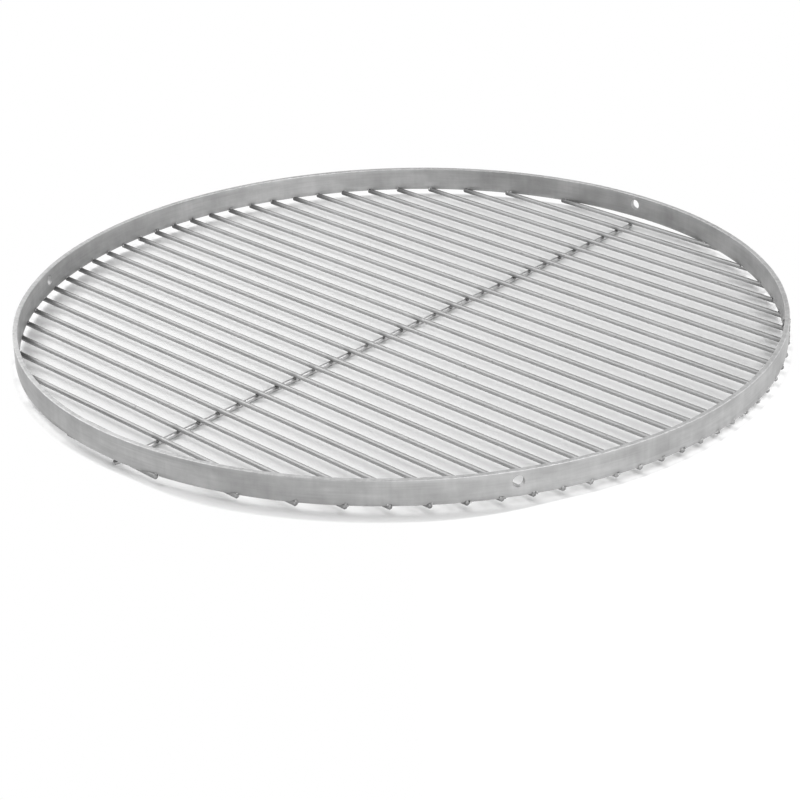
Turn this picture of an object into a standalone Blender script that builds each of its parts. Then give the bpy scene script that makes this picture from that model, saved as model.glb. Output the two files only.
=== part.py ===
"""Round hanging grill grate: a flat-bar rim, a row of round rods and one cross rod.

Metres, +Z up. The origin is the centre of the rim on the lowest plane of the grate,
the underside of the cross rod. The grate rods run along X and the cross rod along Y.
"""

import math

import bmesh
import bpy
from mathutils import Matrix

# Rim: a flat bar rolled on edge into a ring.
RIM_DIAMETER = 0.620
BAR_HEIGHT = 0.020
BAR_THICKNESS = 0.004
BAR_CORNER = 0.0005

# Grate rods: one parallel row, let a little way into the rim's lower edge. Each starts at
# -X, seated under the rim this far out from its inner face, and ends at +X a little proud
# of its outer face. An inset runs from the outer face to an axis.
ROD_DIAMETER = 0.004
ROD_COUNT = 31
FIRST_ROD_INSET = 0.0054
LAST_ROD_INSET = 0.0146
ROD_SINK = 0.0015
ROD_START_SEAT = 0.0015
ROD_END_PROUD = 0.0005

# Cross rod: one rod under the row, a little askew and off centre.
CROSS_ROD_DIAMETER = 0.004
CROSS_ROD_OFFSET = 0.0043
CROSS_ROD_SKEW = math.radians(1.7)
CROSS_ROD_OVERHANG = 0.0015

# Hanging holes: drilled through the rim for the three legs of a chain.
HOLE_DIAMETER = 0.009
HOLE_HEIGHT = 0.0115
HOLE_ANGLES = (math.radians(91.5), math.radians(210.0), math.radians(330.1))

# Pieces that touch keep this gap between their meshes.
CONTACT_GAP = 0.0003

RIM_STEPS = 180
ROD_SIDES = 16
HOLE_SIDES = 24
SMOOTH_ANGLE = math.radians(40)

# Heights and radii that follow from the sizes above.
RIM_RADIUS = RIM_DIAMETER / 2
RIM_INNER_RADIUS = RIM_RADIUS - BAR_THICKNESS
ROD_RADIUS = ROD_DIAMETER / 2
CROSS_ROD_RADIUS = CROSS_ROD_DIAMETER / 2
ROD_AXIS_Z = CROSS_ROD_DIAMETER + CONTACT_GAP + ROD_RADIUS
RIM_BOTTOM_Z = ROD_AXIS_Z + ROD_RADIUS - ROD_SINK
RIM_TOP_Z = RIM_BOTTOM_Z + BAR_HEIGHT
FIRST_ROD_Y = FIRST_ROD_INSET - RIM_RADIUS
LAST_ROD_Y = RIM_RADIUS - LAST_ROD_INSET
ROD_PITCH = (LAST_ROD_Y - FIRST_ROD_Y) / (ROD_COUNT - 1)


def clear_scene():
    for existing in list(bpy.data.objects):
        bpy.data.objects.remove(existing, do_unlink=True)


def new_collection(name):
    collection = bpy.data.collections.new(name)
    bpy.context.scene.collection.children.link(collection)
    return collection


def steel(name, grey, roughness):
    material = bpy.data.materials.new(name)
    material.use_nodes = True
    shader = material.node_tree.nodes["Principled BSDF"]
    shader.inputs["Base Color"].default_value = (grey, grey, grey, 1)
    shader.inputs["Metallic"].default_value = 1
    shader.inputs["Roughness"].default_value = roughness
    return material


def add_object(name, mesh, collection, material=None, parent=None):
    if material:
        mesh.materials.append(material)
    mesh.shade_smooth()
    mesh.set_sharp_from_angle(angle=SMOOTH_ANGLE)
    made = bpy.data.objects.new(name, mesh)
    made.parent = parent
    collection.objects.link(made)
    return made


def add_cylinder(shape, radius, length, sides, placement):
    """Add a capped cylinder to a bmesh, its axis along Z before placement."""
    bmesh.ops.create_cone(
        shape,
        cap_ends=True,
        segments=sides,
        radius1=radius,
        radius2=radius,
        depth=length,
        matrix=placement,
    )


def mesh_from(shape, name):
    mesh = bpy.data.meshes.new(name)
    shape.to_mesh(mesh)
    shape.free()
    return mesh


def round_bar_mesh(name, radius, length):
    """A round bar along X, centred on its own origin."""
    shape = bmesh.new()
    add_cylinder(shape, radius, length, ROD_SIDES, Matrix.Rotation(math.pi / 2, 4, "Y"))
    return mesh_from(shape, name)


def rod_y(index):
    return FIRST_ROD_Y + index * ROD_PITCH


def rod_span(y):
    """The X where a rod at this Y starts and ends, each on its own circle round the Z axis."""
    start = -math.sqrt((RIM_INNER_RADIUS + ROD_START_SEAT) ** 2 - y**2)
    end = math.sqrt((RIM_RADIUS + ROD_END_PROUD) ** 2 - y**2)
    return start, end


def bar_section():
    """The flat bar's section as (radius, height), down its outer side and up its inner."""
    outer = RIM_RADIUS
    inner = RIM_INNER_RADIUS
    low = RIM_BOTTOM_Z
    high = RIM_TOP_Z
    corner = BAR_CORNER
    return (
        (inner + corner, high),
        (outer - corner, high),
        (outer, high - corner),
        (outer, low + corner),
        (outer - corner, low),
        (inner + corner, low),
        (inner, low + corner),
        (inner, high - corner),
    )


def rod_notch_cutter(collection):
    """Every rod, longer and wider by the gap, to let the row into the rim."""
    shape = bmesh.new()
    along_x = Matrix.Rotation(math.pi / 2, 4, "Y")
    for index in range(ROD_COUNT):
        start, end = rod_span(rod_y(index))
        place = Matrix.Translation(((start + end) / 2, rod_y(index), ROD_AXIS_Z)) @ along_x
        length = end - start + 2 * CONTACT_GAP
        add_cylinder(shape, ROD_RADIUS + CONTACT_GAP, length, ROD_SIDES, place)
    return add_cutter("rod_notch_cutter", shape, collection)


def hanging_hole_cutter(collection):
    """Three drills that cross the rim on its radius."""
    shape = bmesh.new()
    outward = Matrix.Rotation(math.pi / 2, 4, "Y")
    middle_radius = RIM_RADIUS - BAR_THICKNESS / 2
    for angle in HOLE_ANGLES:
        turn = Matrix.Rotation(angle, 4, "Z")
        place = turn @ Matrix.Translation((middle_radius, 0, RIM_BOTTOM_Z + HOLE_HEIGHT)) @ outward
        add_cylinder(shape, HOLE_DIAMETER / 2, 3 * BAR_THICKNESS, HOLE_SIDES, place)
    return add_cutter("hanging_hole_cutter", shape, collection)


def add_cutter(name, shape, collection):
    cutter = add_object(name, mesh_from(shape, name), collection)
    cutter.hide_render = True
    cutter.display_type = "WIRE"
    return cutter


def cut(target, cutter):
    boolean = target.modifiers.new(cutter.name, "BOOLEAN")
    boolean.operation = "DIFFERENCE"
    boolean.solver = "EXACT"
    boolean.object = cutter


def make_rim(parts, cutters, material, parent):
    shape = bmesh.new()
    corners = [shape.verts.new((radius, 0, z)) for radius, z in bar_section()]
    for start, end in zip(corners, corners[1:] + corners[:1]):
        shape.edges.new((start, end))
    rim = add_object("rim_band", mesh_from(shape, "rim_band"), parts, material, parent)

    turn = rim.modifiers.new("turn", "SCREW")
    turn.axis = "Z"
    turn.angle = math.tau
    turn.steps = RIM_STEPS
    turn.render_steps = RIM_STEPS
    turn.use_merge_vertices = True
    turn.merge_threshold = 0.00001
    cut(rim, rod_notch_cutter(cutters))
    cut(rim, hanging_hole_cutter(cutters))


def make_grate_rods(parts, material, parent):
    for index in range(ROD_COUNT):
        name = f"grate_rod_{index + 1:02d}"
        y = rod_y(index)
        start, end = rod_span(y)
        mesh = round_bar_mesh(name, ROD_RADIUS, end - start)
        rod = add_object(name, mesh, parts, material, parent)
        rod.location = ((start + end) / 2, y, ROD_AXIS_Z)


def make_cross_rod(parts, material, parent):
    """The rod that ties the row together, from under the first rod to under the last."""
    start_y = FIRST_ROD_Y - CROSS_ROD_OVERHANG
    end_y = LAST_ROD_Y + CROSS_ROD_OVERHANG
    middle_y = (start_y + end_y) / 2
    length = (end_y - start_y) / math.cos(CROSS_ROD_SKEW)
    mesh = round_bar_mesh("cross_rod", CROSS_ROD_RADIUS, length)
    rod = add_object("cross_rod", mesh, parts, material, parent)
    middle_x = CROSS_ROD_OFFSET - math.tan(CROSS_ROD_SKEW) * middle_y
    rod.location = (middle_x, middle_y, CROSS_ROD_RADIUS)
    rod.rotation_euler = (0, 0, math.pi / 2 + CROSS_ROD_SKEW)


def main():
    clear_scene()
    parts = new_collection("hanging_grill_grate")
    cutters = new_collection("cutters")
    origin = bpy.data.objects.new("grate_origin", None)
    parts.objects.link(origin)

    bar_steel = steel("flat_bar_steel", 0.42, 0.42)
    rod_steel = steel("round_rod_steel", 0.40, 0.36)
    make_rim(parts, cutters, bar_steel, origin)
    make_grate_rods(parts, rod_steel, origin)
    make_cross_rod(parts, rod_steel, origin)


main()
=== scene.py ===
import math

import bpy
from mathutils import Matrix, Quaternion, Vector


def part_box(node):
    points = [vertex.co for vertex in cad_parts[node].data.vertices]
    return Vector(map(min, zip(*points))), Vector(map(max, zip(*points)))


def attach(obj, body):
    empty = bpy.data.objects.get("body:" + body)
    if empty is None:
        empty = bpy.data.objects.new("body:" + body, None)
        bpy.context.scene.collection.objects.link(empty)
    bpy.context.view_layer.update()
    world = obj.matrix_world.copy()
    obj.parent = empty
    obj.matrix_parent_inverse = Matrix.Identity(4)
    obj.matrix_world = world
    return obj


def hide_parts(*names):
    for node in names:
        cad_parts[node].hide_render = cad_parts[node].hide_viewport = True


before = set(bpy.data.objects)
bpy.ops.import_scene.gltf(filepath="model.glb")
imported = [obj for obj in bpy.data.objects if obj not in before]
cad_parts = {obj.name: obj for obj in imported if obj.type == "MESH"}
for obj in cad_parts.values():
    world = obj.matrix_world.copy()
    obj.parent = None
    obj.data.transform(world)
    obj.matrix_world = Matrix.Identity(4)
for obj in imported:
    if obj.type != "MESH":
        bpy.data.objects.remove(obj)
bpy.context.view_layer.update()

# --- Sizes, in metres ------------------------------------------------------------------
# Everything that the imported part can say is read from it. What it can't say is named here.
RIM_LOW, RIM_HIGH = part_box("rim_band")
ROD_NODES = sorted(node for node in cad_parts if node.startswith("grate_rod_"))
FIRST_LOW, FIRST_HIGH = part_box(ROD_NODES[0])
LAST_LOW, LAST_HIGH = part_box(ROD_NODES[-1])
CROSS_LOW, CROSS_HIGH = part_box("cross_rod")

RIM_RADIUS = (RIM_HIGH.x - RIM_LOW.x) / 2
RIM_TOP = RIM_HIGH.z
RIM_BOTTOM = RIM_LOW.z
ROD_COUNT = len(ROD_NODES)
ROD_RADIUS = (FIRST_HIGH.y - FIRST_LOW.y) / 2
ROD_HEIGHT = (FIRST_HIGH.z + FIRST_LOW.z) / 2
FIRST_ROD = (FIRST_HIGH.y + FIRST_LOW.y) / 2
LAST_ROD = (LAST_HIGH.y + LAST_LOW.y) / 2
ROD_PITCH = (LAST_ROD - FIRST_ROD) / (ROD_COUNT - 1)
START_RADIUS = math.hypot(LAST_LOW.x, LAST_ROD)
TIP_RADIUS = math.hypot(LAST_HIGH.x, LAST_ROD)
CROSS_RADIUS = (CROSS_HIGH.z - CROSS_LOW.z) / 2
CROSS_HEIGHT = (CROSS_HIGH.z + CROSS_LOW.z) / 2

BAR_HEIGHT = RIM_TOP - RIM_BOTTOM
BAR_THICKNESS = 0.004
BAR_CORNER = 0.0006
RIM_INNER_RADIUS = RIM_RADIUS - BAR_THICKNESS
NOTCH_CLEARANCE = 0.0002
HOLE_RADIUS = 0.0045
HOLE_HEIGHT = RIM_BOTTOM + 0.0115
HOLE_ANGLES = (math.radians(91.5), math.radians(210.0), math.radians(330.1))
SEAM_ANGLE = math.radians(34.5)

CROSS_SKEW = math.radians(1.7)
CROSS_MIDDLE_X = (CROSS_HIGH.x + CROSS_LOW.x) / 2
CROSS_MIDDLE_Y = (CROSS_HIGH.y + CROSS_LOW.y) / 2
CROSS_START = CROSS_LOW.y + 0.0001
CROSS_END = CROSS_HIGH.y - 0.0001
CONTACT_HEIGHT = (ROD_HEIGHT - ROD_RADIUS + CROSS_HEIGHT + CROSS_RADIUS) / 2

# The seam weld starts and stops short of the bar's edges and wanders a little.
SEAM_START = 0.001
SEAM_SHORTER = 0.0016
SEAM_SINK = (-0.0006, -0.0002)
SEAM_WANDER = 0.0006

# How far the dark marks near the welds reach: from full to none, as distances from what was welded.
# On the band they are temper colour. On the rods they are temper colour made darker on the
# undersides as painted shade, and the rods' starts carry a painted shadow of the rim. On the cross
# rod they are painted shade with some temper colour.
BAND_HEAT_HEIGHT = 0.005
BAND_HEAT_REACH = 0.0055
CROSS_DARK_REACH = (0.0015, 0.0065)
RIM_DARK_REACH = (0.004, 0.016)
RIM_SHADOW_REACH = (0.008, 0.034)
UNDER_ROD_DARK_REACH = 0.0034
UNDER_ROD_SHIFT = 0.0026


# --- Studio sizes and light levels -----------------------------------------------------
# A share is the part of the bare paper's brightness that a light gives at the middle.
# Headings are turns about Z from +X.
PAPER_WHITE = 0.90
PAPER_MARGIN = 0.0015
FRONT_MARGIN = 0.0070
PAPER_FADE = 0.0030
FLOOR_REACH = 30.0
FLOOR_DROP = 0.0002
SHADE_HEADING = math.radians(-54.0)
BRIGHT_HEADING = math.radians(-8.0)
GROUND_GLOW = 1.16

KEY_PLACE = (0.90, 0.50, 1.35)
KEY_SHARE = 0.36
KEY_SIZE = (1.7, 0.5)
FILL_PLACE = (-0.80, -0.45, 1.15)
FILL_SHARE = 0.42
FILL_SIZE = (1.0, 0.6)
LOW_HEADING = math.radians(-22.0)
LOW_ELEVATION = math.radians(13.0)
LOW_STRENGTH = 1.15
LOW_SPREAD = math.radians(30.0)

WALL_LIGHT = 0.98
WALL_LIGHT_BACK = 0.30
WALL_LIGHT_RIGHT = 0.05
CEILING_LIGHT = 0.12
WALL_TOP = 0.40
CEILING_START = 0.62

# The camera's places are in rim radii, above the rim's lower edge.
CAMERA_TARGET = (0.3261, -0.3303, 0.0)
CAMERA_PLACE = (3.75106, -3.67510, 2.33302)
CAMERA_ROLL = math.radians(-1.626)
CAMERA_LENS = 98.8
CAMERA_SENSOR = 36.0


# --- Node writing ----------------------------------------------------------------------
class Value:
    """A node's output that sums can be written with."""

    def __init__(self, graph, link):
        self.graph = graph
        self.link = link

    def math(self, operation, *others):
        return self.graph.node("ShaderNodeMath", {"operation": operation}, [self, *others])[0]

    def __add__(self, other):
        return self.math("ADD", other)

    def __radd__(self, other):
        return self.math("ADD", other)

    def __sub__(self, other):
        return self.math("SUBTRACT", other)

    def __rsub__(self, other):
        return self.graph.node("ShaderNodeMath", {"operation": "SUBTRACT"}, [other, self])[0]

    def __mul__(self, other):
        return self.math("MULTIPLY", other)

    def __rmul__(self, other):
        return self.math("MULTIPLY", other)

    def __truediv__(self, other):
        return self.math("DIVIDE", other)

    def __rtruediv__(self, other):
        return self.graph.node("ShaderNodeMath", {"operation": "DIVIDE"}, [other, self])[0]

    def __neg__(self):
        return self.math("MULTIPLY", -1.0)

    def __abs__(self):
        return self.math("ABSOLUTE")


class Made:
    """A node whose outputs are read by name or place."""

    def __init__(self, graph, node):
        self.graph = graph
        self.node = node

    def __getitem__(self, key):
        return Value(self.graph, self.node.outputs[key])


class Graph:
    """A node tree being written."""

    def __init__(self, tree):
        self.tree = tree

    def node(self, kind, settings=None, values=None):
        """Add a node: its settings first, then the values or links of its sockets."""
        node = self.tree.nodes.new(kind)
        for name, value in (settings or {}).items():
            if name == "stops":
                fill_ramp(node.color_ramp, value)
            else:
                setattr(node, name, value)
        pairs = values.items() if isinstance(values, dict) else enumerate(values or [])
        for key, value in pairs:
            self.feed(node.inputs[key], value)
        return Made(self, node)

    def feed(self, socket, value):
        if isinstance(value, Value):
            self.tree.links.new(value.link, socket)
        elif isinstance(value, list):
            for each in value:
                self.feed(socket, each)
        else:
            socket.default_value = value

    def vector(self, x, y, z):
        return self.node("ShaderNodeCombineXYZ", None, [x, y, z])[0]

    def split(self, vector):
        parts = self.node("ShaderNodeSeparateXYZ", None, [vector])
        return parts[0], parts[1], parts[2]

    def ease(self, value, start, end):
        """0 before start, 1 after end and smooth between them."""
        settings = {"interpolation_type": "SMOOTHSTEP"}
        return self.node("ShaderNodeMapRange", settings, [value, start, end, 0.0, 1.0])[0]

    def noise(self, place, scale, detail=3.0, roughness=0.55):
        values = {"Vector": place, "Scale": scale, "Detail": detail, "Roughness": roughness}
        return self.node("ShaderNodeTexNoise", None, values)[0]


def fill_ramp(ramp, stops):
    while len(ramp.elements) < len(stops):
        ramp.elements.new(1.0)
    for element, (place, level) in zip(ramp.elements, stops):
        element.position = place
        element.color = grey(level)


# --- Materials -------------------------------------------------------------------------
def new_material(name):
    material = bpy.data.materials.new(name)
    material.use_nodes = True
    material.node_tree.nodes.clear()
    return material, Graph(material.node_tree)


def object_place(graph):
    return graph.node("ShaderNodeTexCoord")["Object"]


def grey_ramp(graph, value, stops):
    return graph.node("ShaderNodeValToRGB", {"stops": stops}, [value])[0]


def grey(level):
    return (level, level, level, 1.0)


def mix_colour(graph, factor, first, second):
    settings = {"data_type": "RGBA"}
    return graph.node("ShaderNodeMix", settings, {0: factor, 6: first, 7: second})[2]


def metal(graph, colour, roughness, height, bump_strength, bump_distance):
    bump = graph.node(
        "ShaderNodeBump",
        None,
        {"Strength": bump_strength, "Distance": bump_distance, "Height": height},
    )[0]
    shader = graph.node(
        "ShaderNodeBsdfPrincipled",
        None,
        {"Base Color": colour, "Metallic": 1.0, "Roughness": roughness, "Normal": bump},
    )[0]
    graph.node("ShaderNodeOutputMaterial", None, {"Surface": shader})


def near_a_rod(graph, y, reach):
    """1 on the line of each grate rod, falling to 0 at this distance from it along Y."""
    steps = (y - (FIRST_ROD - ROD_PITCH / 2)) / ROD_PITCH
    from_line = abs(steps.math("FRACT") - 0.5) * ROD_PITCH
    return 1.0 - graph.ease(from_line, 0.0, reach)


def rolled_bar_steel():
    """Flat mill bar: mottled rolling skin, drawn marks along it, temper colours at the welds and a
    painted highlight along the top of the bar.
    """
    material, graph = new_material("rolled_bar_steel")
    place = object_place(graph)
    x, y, z = graph.split(place)
    skin = graph.noise(place, 55.0, 4.0, 0.6)
    cloud = graph.noise(graph.vector(x * 12.0, y * 12.0, z * 60.0), 1.0, 3.0, 0.6)
    drawn = graph.noise(graph.vector(x * 18.0, y * 18.0, z * 900.0), 1.0, 3.0, 0.6)
    upright = graph.noise(graph.vector(x * 260.0, y * 260.0, z * 22.0), 1.0, 3.0, 0.6)
    grain = graph.noise(graph.vector(x * 300.0, y * 300.0, z * 2600.0), 1.0, 2.0, 0.6)

    tone = 0.36 * skin + 0.34 * cloud + 0.20 * drawn + 0.10 * upright
    colour = grey_ramp(graph, tone, [(0.38, 0.36), (0.50, 0.44), (0.62, 0.53)])
    low = 1.0 - graph.ease(z, RIM_BOTTOM, RIM_BOTTOM + BAND_HEAT_HEIGHT)
    dark_by_welds = near_a_rod(graph, y, BAND_HEAT_REACH) * low * graph.ease(skin, 0.30, 0.62)
    colour = mix_colour(graph, dark_by_welds * 0.55, colour, grey(0.17))
    # Painted highlight: the top millimetre of the bar is lightened towards grey 0.70 where light
    # falls on its top face, and is a little smoother there.
    painted_top_highlight = graph.ease(z, RIM_TOP - 0.0010, RIM_TOP - 0.0001)
    painted_top_highlight = painted_top_highlight * (0.55 + 0.45 * graph.ease(upright, 0.35, 0.65))
    colour = mix_colour(graph, painted_top_highlight * 0.75, colour, grey(0.70))

    roughness = 0.50 + 0.16 * skin + 0.08 * drawn - 0.05 * painted_top_highlight
    metal(graph, colour, roughness, 0.6 * drawn + 0.5 * grain + 0.5 * skin, 0.35, 0.0002)
    return material


def drawn_rod_steel():
    """Drawn wire: lengthwise lines, dull patches, dark temper colours near each weld made darker on
    the underside as painted shade, and a painted shadow of the rim near each rod's start.
    """
    material, graph = new_material("drawn_rod_steel")
    place = object_place(graph)
    x, y, z = graph.split(place)
    lines = graph.noise(graph.vector(x * 9.0, y * 1500.0, z * 1500.0), 1.0, 2.0, 0.6)
    patches = graph.noise(graph.vector(x * 30.0, y * 60.0, z * 60.0), 1.0, 3.0, 0.6)
    specks = graph.noise(graph.vector(x * 260.0, y * 520.0, z * 520.0), 1.0, 2.0, 0.5)

    tone = 0.40 * lines + 0.45 * patches + 0.15 * specks
    colour = grey_ramp(graph, tone, [(0.36, 0.36), (0.50, 0.43), (0.64, 0.50)])
    scale = graph.ease(specks, 0.60, 0.72) * graph.ease(patches, 0.50, 0.62)
    colour = mix_colour(graph, scale * 0.6, colour, grey(0.16))
    cross_line = CROSS_MIDDLE_X - math.tan(CROSS_SKEW) * (y - CROSS_MIDDLE_Y)
    at_cross = 1.0 - graph.ease(abs(x - cross_line), *CROSS_DARK_REACH)
    from_centre = (x * x + y * y).math("SQRT")
    at_rim = 1.0 - graph.ease(RIM_RADIUS - from_centre, *RIM_DARK_REACH)
    dark_by_welds = (at_cross * 0.6).math("MAXIMUM", at_rim * 0.7) * graph.ease(patches, 0.25, 0.60)
    # Painted shade: the dark marks near the welds are made much darker on the lower half of the
    # rod, where shade falls.
    under = 1.0 - graph.ease(z, ROD_HEIGHT - 0.0005, ROD_HEIGHT + 0.0018)
    colour = mix_colour(graph, dark_by_welds * (0.25 + 0.55 * under), colour, grey(0.13))
    # Painted shadow: each rod is darkened over its first few centimetres from its start on the -X
    # side, where the rim's shadow falls on it.
    from_start = x + (START_RADIUS * START_RADIUS - y * y).math("SQRT")
    painted_rim_shadow = (1.0 - graph.ease(from_start, *RIM_SHADOW_REACH)) * graph.ease(patches, 0.10, 0.50)
    colour = mix_colour(graph, painted_rim_shadow * 0.75, colour, grey(0.14))

    roughness = 0.46 + 0.14 * patches + 0.12 * lines + 0.08 * dark_by_welds
    metal(graph, colour, roughness, 0.7 * lines + 0.3 * specks, 0.30, 0.00015)
    return material


def drawn_cross_steel():
    """The cross rod's wire, lighter than the grate rods' wire as a painted highlight, and dark just
    in front of each grate rod as painted shade with some temper colour.
    """
    material, graph = new_material("drawn_cross_steel")
    place = object_place(graph)
    x, y, z = graph.split(place)
    lines = graph.noise(graph.vector(x * 1500.0, y * 9.0, z * 1500.0), 1.0, 2.0, 0.6)
    patches = graph.noise(graph.vector(x * 60.0, y * 40.0, z * 60.0), 1.0, 3.0, 0.6)

    tone = 0.5 * lines + 0.5 * patches
    # Painted highlight: this wire's base colour is lighter than the grate rods' wire, so that it
    # reads as catching the light.
    colour = grey_ramp(graph, tone, [(0.36, 0.52), (0.50, 0.60), (0.64, 0.68)])
    # Painted shade with some temper colour: the wire is darkened just in front of each grate rod,
    # shifted towards -Y, where the grate rod's shadow falls on it.
    beside = near_a_rod(graph, y + UNDER_ROD_SHIFT, UNDER_ROD_DARK_REACH)
    dark_by_welds = beside * graph.ease(patches, 0.15, 0.50)
    colour = mix_colour(graph, dark_by_welds * 0.35, colour, grey(0.20))

    roughness = 0.34 + 0.12 * patches + 0.08 * lines + 0.20 * dark_by_welds
    metal(graph, colour, roughness, lines, 0.25, 0.00015)
    return material


def weld_metal(name, dark, light):
    """Weld metal: rippled, its tone mottled at random between dark soot and bright metal."""
    material, graph = new_material(name)
    place = object_place(graph)
    ripple = graph.noise(place, 900.0, 3.0, 0.6)
    soot = graph.noise(place, 330.0, 3.0, 0.6)
    stops = [(0.36, dark), (0.52, (dark + light) / 2), (0.64, light)]
    colour = grey_ramp(graph, 0.4 * ripple + 0.6 * soot, stops)
    roughness = 0.30 + 0.30 * soot
    metal(graph, colour, roughness, ripple, 0.5, 0.0002)
    return material


def studio_floor():
    """Plain white paper under the grate that turns past the rim into a glowing white ground:
    painted light that washes out the shadows there and glows brighter towards one side.
    """
    material, graph = new_material("studio_floor_white")
    place = object_place(graph)
    x, y, z = graph.split(place)
    paper = graph.noise(place, 3.0, 2.0, 0.5)
    colour = grey_ramp(graph, paper, [(0.3, 0.89), (0.7, 0.91)])
    values = {"Base Color": colour, "Roughness": 0.9, "Specular IOR Level": 0.0}
    near = graph.node("ShaderNodeBsdfPrincipled", None, values)[0]
    from_centre = (x * x + y * y).math("SQRT")
    # Painted light: past the rim the ground glows instead of being lit, up to GROUND_GLOW towards
    # BRIGHT_HEADING.
    aside = (x * math.cos(BRIGHT_HEADING) + y * math.sin(BRIGHT_HEADING)) / from_centre
    white = mix_colour(graph, graph.ease(aside, 0.80, 0.97), grey(1.0), grey(GROUND_GLOW))
    lit = graph.node("ShaderNodeEmission", None, {"Color": white, "Strength": 1.0})[0]
    # The glow starts further out towards SHADE_HEADING, so the shadows in front of the rim stay
    # there.
    ahead = (x * math.cos(SHADE_HEADING) + y * math.sin(SHADE_HEADING)) / from_centre
    start = RIM_RADIUS + PAPER_MARGIN + FRONT_MARGIN * graph.ease(ahead, 0.86, 0.98)
    outside = graph.ease(from_centre - start, 0.0, PAPER_FADE)
    shader = graph.node("ShaderNodeMixShader", None, [outside, near, lit])[0]
    graph.node("ShaderNodeOutputMaterial", None, {"Surface": shader})
    return material


# --- Geometry groups -------------------------------------------------------------------
SOCKET_TYPES = {
    float: "NodeSocketFloat",
    int: "NodeSocketInt",
    bpy.types.Material: "NodeSocketMaterial",
}


def new_group(name, sizes):
    """A geometry group whose inputs are these names and sizes. Returns it and its inputs."""
    tree = bpy.data.node_groups.new(name, "GeometryNodeTree")
    tree.interface.new_socket("Shape", in_out="OUTPUT", socket_type="NodeSocketGeometry")
    for label, size in sizes.items():
        kind = SOCKET_TYPES[type(size)]
        tree.interface.new_socket(label, in_out="INPUT", socket_type=kind)
    graph = Graph(tree)
    given = graph.node("NodeGroupInput")
    return graph, given


def finish_group(graph, shape, material):
    """End the tree as real geometry with its material set."""
    real = graph.node("GeometryNodeRealizeInstances", None, [shape])[0]
    shaded = graph.node("GeometryNodeSetMaterial", None, {0: real, "Material": material})[0]
    graph.node("NodeGroupOutput", None, [shaded])
    return graph.tree


def grow(name, tree, sizes, smooth_angle=40):
    """Run a group with these sizes and keep its result as a plain mesh that rides the part."""
    seed = bpy.data.objects.new(name + "_seed", bpy.data.meshes.new(name + "_seed"))
    bpy.context.scene.collection.objects.link(seed)
    modifier = seed.modifiers.new(tree.name, "NODES")
    modifier.node_group = tree
    for item in tree.interface.items_tree:
        if item.item_type == "SOCKET" and item.in_out == "INPUT":
            modifier[item.identifier] = sizes[item.name]
    seen = seed.evaluated_get(bpy.context.evaluated_depsgraph_get())
    mesh = bpy.data.meshes.new_from_object(seen)
    mesh.name = name
    steel = mesh.materials[-1]
    mesh.polygons.foreach_set("material_index", [0] * len(mesh.polygons))
    mesh.materials.clear()
    mesh.materials.append(steel)
    seed.modifiers.remove(modifier)
    bpy.data.objects.remove(seed)
    mesh.shade_smooth()
    mesh.set_sharp_from_angle(angle=math.radians(smooth_angle))
    piece = bpy.data.objects.new(name, mesh)
    bpy.context.scene.collection.objects.link(piece)
    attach(piece, "root")
    return piece


def rod_points(graph, count, first, pitch, height):
    """One point for each grate rod, on the YZ plane."""
    start = graph.vector(0.0, first, height)
    step = graph.vector(0.0, pitch, 0.0)
    values = {"Count": count, "Start Location": start, "Offset": step}
    settings = {"mode": "OFFSET", "count_mode": "TOTAL"}
    return graph.node("GeometryNodeMeshLine", settings, values)[0]


def moved(graph, shape, place=(0, 0, 0), turn=(0, 0, 0)):
    values = {"Geometry": shape, "Translation": place, "Rotation": turn}
    return graph.node("GeometryNodeTransform", None, values)[0]


def rim_band_group(sizes):
    """A flat bar swept round a circle, with rod notches and hanging holes cut in it."""
    graph, given = new_group("rim_band_maker", sizes)
    middle = given["Outer Radius"] - given["Bar Thickness"] / 2
    ring = graph.node(
        "GeometryNodeCurvePrimitiveCircle",
        {"mode": "RADIUS"},
        {"Resolution": given["Ring Steps"], "Radius": middle},
    )[0]
    section = graph.node(
        "GeometryNodeCurvePrimitiveQuadrilateral",
        {"mode": "RECTANGLE"},
        {"Width": given["Bar Thickness"], "Height": given["Bar Height"]},
    )[0]
    section = graph.node("GeometryNodeSubdivideCurve", None, {"Curve": section, "Cuts": 5})[0]
    values = {"Curve": section, "Count": 3, "Radius": given["Corner Radius"]}
    section = graph.node("GeometryNodeFilletCurve", {"mode": "POLY"}, values)[0]
    values = {"Curve": ring, "Profile Curve": section}
    bar = graph.node("GeometryNodeCurveToMesh", None, values)[0]
    lift = graph.vector(0.0, 0.0, given["Bottom Height"] + given["Bar Height"] / 2)
    bar = moved(graph, bar, lift)

    place = graph.node("GeometryNodeInputPosition")[0]
    x, y, z = graph.split(place)
    outward = graph.node("ShaderNodeVectorMath", {"operation": "NORMALIZE"},
                         [graph.vector(x, y, 0.0)])[0]
    wave = graph.noise(graph.vector(x, y, z * 2.0), 26.0, 2.0, 0.5) - 0.5
    push = graph.node("ShaderNodeVectorMath", {"operation": "SCALE"},
                      {0: outward, "Scale": wave * given["Wave Depth"]})[0]
    bar = graph.node("GeometryNodeSetPosition", None, {"Geometry": bar, "Offset": push})[0]
    # Doubled points left by the filleted section would keep the cut from closing.
    values = {"Geometry": bar, "Distance": 0.00001}
    bar = graph.node("GeometryNodeMergeByDistance", None, values)[0]

    cutters = [rod_notches(graph, given)] + hanging_holes(graph, given)
    settings = {"operation": "DIFFERENCE", "solver": "EXACT"}
    cut = graph.node("GeometryNodeMeshBoolean", settings, {0: bar, 1: cutters})[0]
    return finish_group(graph, cut, given["Steel"])


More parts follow.
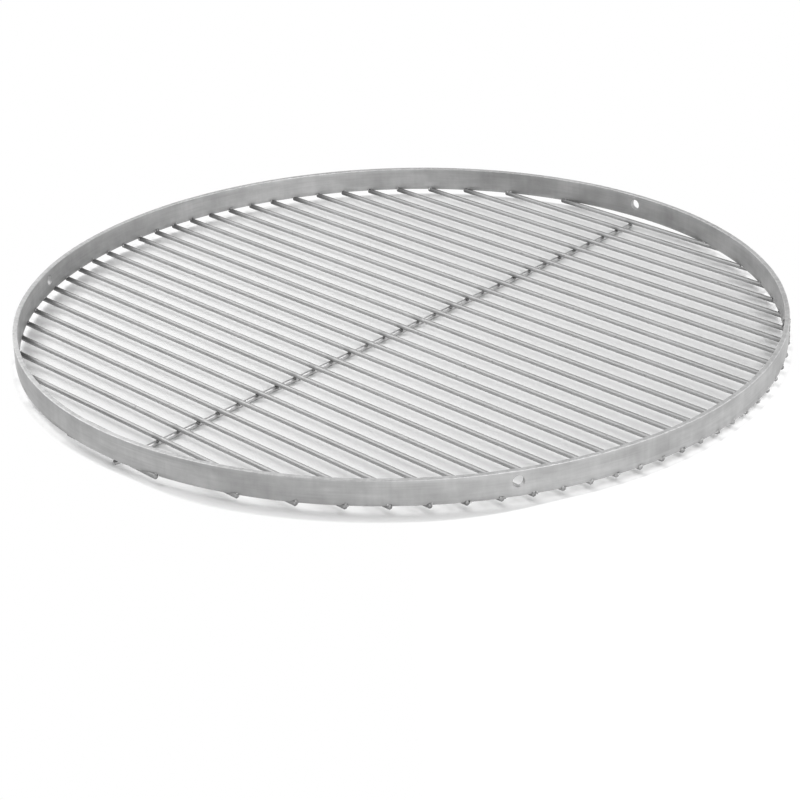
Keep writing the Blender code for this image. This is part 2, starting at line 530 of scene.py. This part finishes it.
def rod_notches(graph, given):
    """Each grate rod, longer and wider by the clearance."""
    rows = rod_lines(graph, given, 2)
    x, y, z = graph.split(graph.node("GeometryNodeInputPosition")[0])
    reach = rod_reach(graph, given, x, y, given["Notch Clearance"])
    place = graph.vector(x.math("SIGN") * reach, y, z)
    rows = graph.node("GeometryNodeSetPosition", None, {"Geometry": rows, "Position": place})[0]
    return bar_along(graph, rows, given["Rod Radius"] + given["Notch Clearance"], 0.0, 24)


def hanging_holes(graph, given):
    drills = []
    for number in range(1, 4):
        values = {
            "Vertices": 48,
            "Radius": given["Hole Radius"],
            "Depth": given["Bar Thickness"] * 3,
        }
        drill = graph.node("GeometryNodeMeshCylinder", {"fill_type": "NGON"}, values)[0]
        reach = given["Outer Radius"] - given["Bar Thickness"] / 2
        place = graph.vector(reach, 0.0, given["Hole Height"])
        drill = moved(graph, drill, place, (0.0, math.pi / 2, 0.0))
        turn = graph.vector(0.0, 0.0, given[f"Hole Angle {number}"])
        drills.append(moved(graph, drill, turn=turn))
    return drills


def rod_lines(graph, given, steps):
    """A line along X from -1 to 1 for each grate rod, with this many points."""
    line = graph.node(
        "GeometryNodeCurvePrimitiveLine",
        {"mode": "POINTS"},
        {"Start": (-1.0, 0.0, 0.0), "End": (1.0, 0.0, 0.0)},
    )[0]
    values = {"Curve": line, "Count": steps}
    line = graph.node("GeometryNodeResampleCurve", {"mode": "COUNT"}, values)[0]
    points = rod_points(
        graph, given["Rod Count"], given["First Rod"], given["Rod Pitch"], given["Rod Height"]
    )
    rows = graph.node("GeometryNodeInstanceOnPoints", None, {"Points": points, "Instance": line})[0]
    return graph.node("GeometryNodeRealizeInstances", None, [rows])[0]


def rod_reach(graph, given, x, y, more):
    """How far from the middle a rod goes on this side: each end lies on its own circle."""
    far_side = x.math("GREATER_THAN", 0.0)
    circle = given["Start Radius"] + far_side * (given["Tip Radius"] - given["Start Radius"]) + more
    return (circle * circle - y * y).math("SQRT")


def bar_along(graph, path, radius, tip, sides):
    """A round bar along each spline of a path, its two tips drawn in a little."""
    factor = graph.node("GeometryNodeSplineParameter")["Factor"]
    at_tip = abs(factor * 2.0 - 1.0).math("GREATER_THAN", 0.99999)
    scale = 1.0 - at_tip * tip
    ring = graph.node(
        "GeometryNodeCurvePrimitiveCircle",
        {"mode": "RADIUS"},
        {"Resolution": sides, "Radius": radius},
    )[0]
    values = {"Curve": path, "Profile Curve": ring, "Scale": scale, "Fill Caps": True}
    return graph.node("GeometryNodeCurveToMesh", None, values)[0]


def grate_rods_group(sizes):
    """The row of rods: each a nearly straight bar from under the rim to just past it."""
    graph, given = new_group("grate_rods_maker", sizes)
    rows = rod_lines(graph, given, given["Rod Steps"])
    x, y, z = graph.split(graph.node("GeometryNodeInputPosition")[0])
    reach = rod_reach(graph, given, x, y, 0.0)
    inner = 1.0 - 2.0 / (given["Rod Steps"] - 1.0)
    at_tip = abs(x).math("GREATER_THAN", inner + 0.00001)
    inside = abs(x) / inner * (reach - given["Tip Depth"])
    along = (at_tip * reach + (1.0 - at_tip) * inside) * x.math("SIGN")
    bow = graph.noise(graph.vector(x * 1.3, y * 211.0, 0.0), 1.0, 1.0, 0.5) - 0.5
    dip = graph.noise(graph.vector(x * 1.6, y * 173.0, 5.0), 1.0, 1.0, 0.5) - 0.5
    sideways = y + bow * given["Bow"]
    height = z + dip * given["Dip"]
    values = {"Geometry": rows, "Position": graph.vector(along, sideways, height)}
    rows = graph.node("GeometryNodeSetPosition", None, values)[0]
    rods = bar_along(graph, rows, given["Rod Radius"], given["Tip Taper"], given["Sides"])
    return finish_group(graph, rods, given["Steel"])


def cross_rod_group(sizes):
    """One bar along Y, a little askew, its tips drawn in."""
    graph, given = new_group("cross_rod_maker", sizes)
    line = graph.node(
        "GeometryNodeCurvePrimitiveLine",
        {"mode": "POINTS"},
        {"Start": (0.0, -1.0, 0.0), "End": (0.0, 1.0, 0.0)},
    )[0]
    values = {"Curve": line, "Count": given["Rod Steps"]}
    line = graph.node("GeometryNodeResampleCurve", {"mode": "COUNT"}, values)[0]
    x, y, z = graph.split(graph.node("GeometryNodeInputPosition")[0])
    half = (given["End"] - given["Start"]) / 2
    inner = 1.0 - 2.0 / (given["Rod Steps"] - 1.0)
    at_tip = abs(y).math("GREATER_THAN", inner + 0.00001)
    inside = abs(y) / inner * (half - given["Tip Depth"])
    offset = (at_tip * half + (1.0 - at_tip) * inside) * y.math("SIGN")
    along = offset + (given["End"] + given["Start"]) / 2
    aside = given["Middle X"] - given["Skew"].math("TANGENT") * offset
    bow = graph.noise(graph.vector(3.0, y * 2.6, 0.0), 1.0, 1.0, 0.5) - 0.5
    place = graph.vector(aside + bow * given["Bow"], along, given["Height"])
    line = graph.node("GeometryNodeSetPosition", None, {"Geometry": line, "Position": place})[0]
    rod = bar_along(graph, line, given["Rod Radius"], given["Tip Taper"], given["Sides"])
    return finish_group(graph, rod, given["Steel"])


def random_between(graph, low, high, seed):
    values = {2: low, 3: high, "Seed": seed}
    return graph.node("FunctionNodeRandomValue", {"data_type": "FLOAT"}, values)[1]


def melted(graph, points, radius, voxel):
    """Points of these radii run together into one skin."""
    values = {"Points": points, "Voxel Size": voxel, "Radius": radius}
    settings = {"resolution_mode": "VOXEL_SIZE"}
    pool = graph.node("GeometryNodePointsToVolume", settings, values)[0]
    values = {"Volume": pool, "Voxel Size": voxel, "Threshold": 0.1, "Adaptivity": 0.0}
    return graph.node("GeometryNodeVolumeToMesh", settings, values)[0]


def end_weld_group(sizes):
    """Tack welds at the ends of every rod: inside the rim at both, outside it at one."""
    graph, given = new_group("end_weld_maker", sizes)
    ends = []
    for side, circle in ((-1.0, "Inner Circle"), (1.0, "Inner Circle"), (1.0, "Outer Circle")):
        points = rod_points(
            graph, given["Rod Count"], given["First Rod"], given["Rod Pitch"], given["Height"]
        )
        x, y, z = graph.split(graph.node("GeometryNodeInputPosition")[0])
        reach = (given[circle] * given[circle] - y * y).math("SQRT")
        values = {"Geometry": points, "Offset": graph.vector(reach * side, 0.0, 0.0)}
        ends.append(graph.node("GeometryNodeSetPosition", None, values)[0])
    both = graph.node("GeometryNodeJoinGeometry", None, {0: ends})[0]
    cloud = graph.node("GeometryNodeMeshToPoints", None, {0: both})[0]
    values = {"Geometry": cloud, "Amount": given["Drops"]}
    drops = graph.node("GeometryNodeDuplicateElements", {"domain": "POINT"}, values)[0]

    x, y, z = graph.split(graph.node("GeometryNodeInputPosition")[0])
    length = (x * x + y * y).math("SQRT")
    along = random_between(graph, -1.0, 1.0, 11) * given["Spread"]
    out = random_between(graph, -0.5, 0.1, 12) * given["Spread"]
    up = random_between(graph, -0.5, 0.4, 13) * given["Spread"]
    shift = graph.vector(
        out * x / length - along * y / length, out * y / length + along * x / length, up
    )
    drops = graph.node("GeometryNodeSetPosition", None, {"Geometry": drops, "Offset": shift})[0]
    radius = random_between(graph, 0.55, 1.0, 14) * given["Drop Radius"]
    skin = melted(graph, drops, radius, given["Fineness"])
    return finish_group(graph, skin, given["Steel"])


def crossing_weld_group(sizes):
    """The pinch of weld metal between each grate rod and the cross rod, pushed to the front and
    right of each crossing and darkened as painted shade.
    """
    graph, given = new_group("crossing_weld_maker", sizes)
    points = rod_points(
        graph, given["Rod Count"], given["First Rod"], given["Rod Pitch"], given["Height"]
    )
    cloud = graph.node("GeometryNodeMeshToPoints", None, {0: points})[0]
    x, y, z = graph.split(graph.node("GeometryNodeInputPosition")[0])
    line = given["Middle X"] - given["Skew"].math("TANGENT") * (y - given["Middle Y"])
    values = {"Geometry": cloud, "Offset": graph.vector(line, 0.0, 0.0)}
    cloud = graph.node("GeometryNodeSetPosition", None, values)[0]
    values = {"Geometry": cloud, "Amount": given["Drops"]}
    drops = graph.node("GeometryNodeDuplicateElements", {"domain": "POINT"}, values)[0]
    spread = given["Spread"]
    # Painted shade in part: the drops are pushed towards +X, -Y and down, into the spot where the
    # grate rod's shadow falls.
    shift = graph.vector(
        random_between(graph, 0.1, 1.8, 21) * spread,
        random_between(graph, -1.9, 0.1, 22) * spread,
        random_between(graph, -0.9, 0.1, 23) * spread,
    )
    drops = graph.node("GeometryNodeSetPosition", None, {"Geometry": drops, "Offset": shift})[0]
    radius = random_between(graph, 0.6, 1.0, 24) * given["Drop Radius"]
    skin = melted(graph, drops, radius, given["Fineness"])
    return finish_group(graph, skin, given["Steel"])


def seam_weld_group(sizes):
    """The ridge that closes the rim's two ends: drops of weld up the bar and over its top."""
    graph, given = new_group("seam_weld_maker", sizes)
    start = graph.vector(given["Rim Radius"], 0.0, given["Bottom Height"] + SEAM_START)
    step = graph.vector(0.0, 0.0, (given["Bar Height"] - SEAM_SHORTER) / (given["Drops"] - 1.0))
    values = {"Count": given["Drops"], "Start Location": start, "Offset": step}
    settings = {"mode": "OFFSET", "count_mode": "TOTAL"}
    line = graph.node("GeometryNodeMeshLine", settings, values)[0]
    inner = moved(graph, line, graph.vector(-given["Bar Thickness"], 0.0, 0.0))
    both = graph.node("GeometryNodeJoinGeometry", None, {0: [line, inner]})[0]
    cloud = graph.node("GeometryNodeMeshToPoints", None, {0: both})[0]
    sink = random_between(graph, *SEAM_SINK, 31)
    wander = random_between(graph, -SEAM_WANDER, SEAM_WANDER, 32)
    shift = graph.vector(sink, wander, 0.0)
    cloud = graph.node("GeometryNodeSetPosition", None, {"Geometry": cloud, "Offset": shift})[0]
    radius = random_between(graph, 0.75, 1.0, 33) * given["Drop Radius"]
    skin = melted(graph, cloud, radius, given["Fineness"])
    turned = moved(graph, skin, turn=graph.vector(0.0, 0.0, given["Seam Angle"]))
    return finish_group(graph, turned, given["Steel"])


# --- Pieces ----------------------------------------------------------------------------
def rod_row_sizes():
    return {"Rod Count": ROD_COUNT, "First Rod": FIRST_ROD, "Rod Pitch": ROD_PITCH}


def rod_shape_sizes():
    return {
        "Rod Radius": ROD_RADIUS,
        "Rod Height": ROD_HEIGHT,
        "Start Radius": START_RADIUS,
        "Tip Radius": TIP_RADIUS,
        **rod_row_sizes(),
    }


def make_rim_band(steel):
    sizes = {
        "Outer Radius": RIM_RADIUS,
        "Bar Height": BAR_HEIGHT,
        "Bar Thickness": BAR_THICKNESS,
        "Corner Radius": BAR_CORNER,
        "Bottom Height": RIM_BOTTOM,
        "Ring Steps": 360,
        "Wave Depth": 0.0006,
        "Notch Clearance": NOTCH_CLEARANCE,
        "Hole Radius": HOLE_RADIUS,
        "Hole Height": HOLE_HEIGHT,
        "Hole Angle 1": HOLE_ANGLES[0],
        "Hole Angle 2": HOLE_ANGLES[1],
        "Hole Angle 3": HOLE_ANGLES[2],
        "Steel": steel,
        **rod_shape_sizes(),
    }
    piece = grow("rim_band_steel", rim_band_group(sizes), sizes, 35)
    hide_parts("rim_band")


def make_grate_rods(steel):
    sizes = {
        "Tip Depth": 0.0009,
        "Tip Taper": 0.4,
        "Rod Steps": 40,
        "Sides": 24,
        "Bow": 0.0010,
        "Dip": 0.0003,
        "Steel": steel,
        **rod_shape_sizes(),
    }
    piece = grow("grate_rod_row", grate_rods_group(sizes), sizes)
    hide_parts(*ROD_NODES)


def make_cross_rod(steel):
    sizes = {
        "Rod Radius": CROSS_RADIUS,
        "Start": CROSS_START,
        "End": CROSS_END,
        "Middle X": CROSS_MIDDLE_X,
        "Height": CROSS_HEIGHT,
        "Skew": CROSS_SKEW,
        "Tip Depth": 0.0004,
        "Tip Taper": 0.2,
        "Rod Steps": 80,
        "Sides": 32,
        "Bow": 0.0008,
        "Steel": steel,
    }
    piece = grow("cross_rod_bar", cross_rod_group(sizes), sizes)
    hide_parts("cross_rod")


def make_end_welds(steel):
    sizes = {
        "Inner Circle": RIM_INNER_RADIUS,
        "Outer Circle": RIM_RADIUS,
        "Height": RIM_BOTTOM + 0.0008,
        "Drops": 6,
        "Spread": 0.0021,
        "Drop Radius": 0.0010,
        "Fineness": 0.0003,
        "Steel": steel,
        **rod_row_sizes(),
    }
    grow("rod_end_welds", end_weld_group(sizes), sizes, 80)


def make_crossing_welds(steel):
    sizes = {
        "Middle X": CROSS_MIDDLE_X,
        "Middle Y": CROSS_MIDDLE_Y,
        "Skew": CROSS_SKEW,
        "Height": CONTACT_HEIGHT,
        "Drops": 7,
        "Spread": 0.0012,
        "Drop Radius": 0.0011,
        "Fineness": 0.00028,
        "Steel": steel,
        **rod_row_sizes(),
    }
    grow("crossing_welds", crossing_weld_group(sizes), sizes, 80)


def make_seam_weld(steel):
    sizes = {
        "Rim Radius": RIM_RADIUS,
        "Bar Height": BAR_HEIGHT,
        "Bar Thickness": BAR_THICKNESS,
        "Bottom Height": RIM_BOTTOM,
        "Seam Angle": SEAM_ANGLE,
        "Drops": 24,
        "Drop Radius": 0.0010,
        "Fineness": 0.00025,
        "Steel": steel,
    }
    grow("rim_seam_weld", seam_weld_group(sizes), sizes, 80)


# --- Studio ----------------------------------------------------------------------------
def make_floor():
    signs = ((-1, -1), (1, -1), (1, 1), (-1, 1))
    corners = [(x * FLOOR_REACH, y * FLOOR_REACH, -FLOOR_DROP) for x, y in signs]
    mesh = bpy.data.meshes.new("studio_floor")
    mesh.from_pydata(corners, [], [(0, 1, 2, 3)])
    mesh.materials.append(studio_floor())
    floor = bpy.data.objects.new("studio_floor", mesh)
    bpy.context.scene.collection.objects.link(floor)


def make_sky():
    """Soft room light: bright walls, brightest at the back, under a dim ceiling."""
    world = bpy.data.worlds.new("studio_room")
    world.use_nodes = True
    world.node_tree.nodes.clear()
    bpy.context.scene.world = world
    graph = Graph(world.node_tree)
    x, y, z = graph.split(graph.node("ShaderNodeTexCoord")["Generated"])
    right = (x + y) * math.sqrt(0.5)
    back = (y - x) * math.sqrt(0.5)
    wall = WALL_LIGHT + WALL_LIGHT_BACK * back + WALL_LIGHT_RIGHT * right
    strength = wall - (wall - CEILING_LIGHT) * graph.ease(z, WALL_TOP, CEILING_START)
    values = {"Color": grey(1.0), "Strength": strength}
    light = graph.node("ShaderNodeBackground", None, values)[0]
    graph.node("ShaderNodeOutputWorld", None, {"Surface": light})


def add_light(name, kind, toward, power):
    """A light whose rays leave along -toward: seen from the grate, it lies in that direction."""
    data = bpy.data.lights.new(name, kind)
    data.energy = power
    light = bpy.data.objects.new(name, data)
    light.rotation_mode = "QUATERNION"
    light.rotation_quaternion = toward.to_track_quat("Z", "Y")
    bpy.context.scene.collection.objects.link(light)
    return light


def add_softbox(name, place, share, size):
    """A rectangle that faces the middle of the grate and gives the paper there this share."""
    place = Vector(place)
    power = share * math.pi**2 * place.length**3 / (PAPER_WHITE * place.z)
    light = add_light(name, "AREA", place.normalized(), power)
    light.location = place
    light.data.shape = "RECTANGLE"
    light.data.size, light.data.size_y = size


def make_lights():
    add_softbox("soft_key_right", KEY_PLACE, KEY_SHARE, KEY_SIZE)
    add_softbox("soft_fill_left", FILL_PLACE, FILL_SHARE, FILL_SIZE)
    level = math.cos(LOW_ELEVATION)
    toward = Vector((
        level * math.cos(LOW_HEADING),
        level * math.sin(LOW_HEADING),
        math.sin(LOW_ELEVATION),
    ))
    low = add_light("soft_low_right", "SUN", toward, LOW_STRENGTH)
    low.data.angle = LOW_SPREAD


def make_camera():
    data = bpy.data.cameras.new("studio_camera")
    data.sensor_fit = "HORIZONTAL"
    data.sensor_width = CAMERA_SENSOR
    data.lens = CAMERA_LENS
    data.dof.use_dof = False
    data.clip_start = 0.01
    data.clip_end = 200.0
    camera = bpy.data.objects.new("studio_camera", data)
    bpy.context.scene.collection.objects.link(camera)
    bpy.context.scene.camera = camera
    lift = Vector((0.0, 0.0, RIM_BOTTOM))
    target = Vector(CAMERA_TARGET) * RIM_RADIUS + lift
    place = Vector(CAMERA_PLACE) * RIM_RADIUS + lift
    roll = Quaternion((0, 0, 1), CAMERA_ROLL)
    camera.rotation_mode = "QUATERNION"
    camera.location = place
    camera.rotation_quaternion = (target - place).to_track_quat("-Z", "Y") @ roll


def make_grate():
    rod_steel = drawn_rod_steel()
    make_rim_band(rolled_bar_steel())
    make_grate_rods(rod_steel)
    make_cross_rod(drawn_cross_steel())
    make_end_welds(weld_metal("end_weld_metal", 0.30, 0.56))
    # The crossing welds' very dark tones are partly painted shade.
    make_crossing_welds(weld_metal("crossing_weld_metal_and_shade", 0.10, 0.28))
    make_seam_weld(weld_metal("seam_weld_metal", 0.16, 0.50))


bpy.context.scene.view_settings.view_transform = "Standard"
make_camera()
make_lights()
make_sky()
make_floor()
make_grate()
